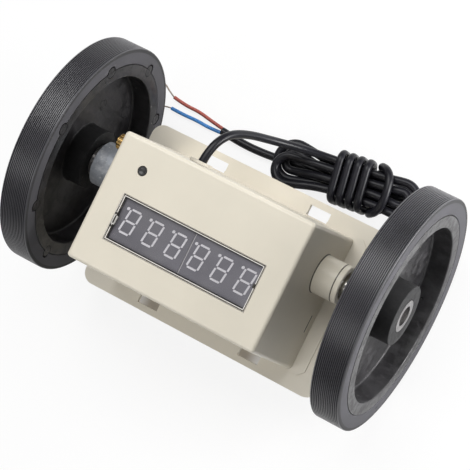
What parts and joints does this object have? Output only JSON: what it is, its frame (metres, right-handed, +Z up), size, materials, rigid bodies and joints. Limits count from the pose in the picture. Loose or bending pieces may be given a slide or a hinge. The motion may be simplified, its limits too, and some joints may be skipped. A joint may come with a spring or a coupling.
{
  "type": "cable length counter",
  "caption": "Length counter with a measuring wheel at each end of a through shaft, a drafted case on a slotted base plate, a digital display, a reset button and a tied-up lead.",
  "frame": {"origin": "on the shaft's axis, midway between the two wheels", "axes": "+X along the shaft to the plain-shaft wheel, +Y to the side where the lead leaves, +Z up out of the display face"},
  "size_m": [0.1535, 0.0969, 0.0954],
  "materials": {
    "case_plastic": "satin beige moulding",
    "painted_plate": "beige paint on steel sheet",
    "zinc_steel": "zinc plated",
    "bright_bezel": "bright bevelled rim",
    "smoked_lens": "smoked clear",
    "display_black": "black face with grey segments",
    "circuit_board": "green solder mask",
    "component_black": "matt",
    "terminal_green": "matt",
    "spacer_white": "matt",
    "ribbon_grey": "matt",
    "zinc_sleeve": "dull blue-grey zinc",
    "bearing_steel": "polished",
    "brass": "turned",
    "cord_black": "soft black sheath",
    "core_red": "insulated core",
    "core_blue": "insulated core",
    "tinned_copper": "stranded tips",
    "ground_steel": "ground bright",
    "wheel_plastic": "satin black moulding",
    "tread_rubber": "ribbed tread",
    "bush_steel": "turned",
    "disc_steel": "blackened",
    "hub_brass": "turned",
    "button_black": "gloss"
  },
  "bodies": {
    "housing": {"base_plate": "painted_plate", "base_screws": "zinc_steel", "bearing_cap": "case_plastic", "bearing_sleeve": "zinc_sleeve", "blue_core": "core_blue", "blue_strands": "tinned_copper", "board_screws": "zinc_steel", "case": "case_plastic", "controller_chip": "component_black", "cord_hank": "cord_black", "cord_lead": "cord_black", "cord_tail": "cord_black", "display_module_left": "display_black", "display_module_right": "display_black", "earth_nut": "brass", "earth_stud": "brass", "earth_washer": "brass", "inner_cores": "core_red", "lead_grommet": "cord_black", "lead_terminal": "terminal_green", "left_bearing_balls": "bearing_steel", "left_bearing_outer": "bearing_steel", "light_barriers": "component_black", "main_board": "circuit_board", "red_core": "core_red", "red_strands": "tinned_copper", "reset_switch": "component_black", "right_bearing_balls": "bearing_steel", "right_bearing_outer": "bearing_steel", "sensor_board": "circuit_board", "sensor_ribbon": "ribbon_grey", "sensor_screws": "zinc_steel", "sensor_spacers": "spacer_white", "sleeve_nut": "zinc_steel", "smoothing_capacitor": "component_black", "window_frame": "bright_bezel", "window_lens": "smoked_lens"},
    "wheels": {"counting_disc": "disc_steel", "disc_grub_screw": "zinc_steel", "disc_hub": "hub_brass", "left_bearing_inner": "bearing_steel", "left_hub_bush": "bush_steel", "left_tyre": "tread_rubber", "left_wheel_core": "wheel_plastic", "retaining_rings": "bush_steel", "right_bearing_inner": "bearing_steel", "right_hub_bush": "bush_steel", "right_tyre": "tread_rubber", "right_wheel_core": "wheel_plastic", "shaft": "ground_steel", "wheel_grub_screws": "zinc_steel"},
    "button": {"reset_button": "button_black", "switch_plunger": "button_black"}
  },
  "joints": [
    {"name": "wheel_spin", "type": "hinge", "parent": "housing", "child": "wheels", "pos_m": [0, 0, 0], "axis": [1, 0, 0], "continuous": true},
    {"name": "reset_press", "type": "slide", "parent": "housing", "child": "button", "axis": [0, 0, -1], "range_m": [0, 0.0006], "stiffness_N_per_m": 800, "springref_m": -0.0005}
  ]
}
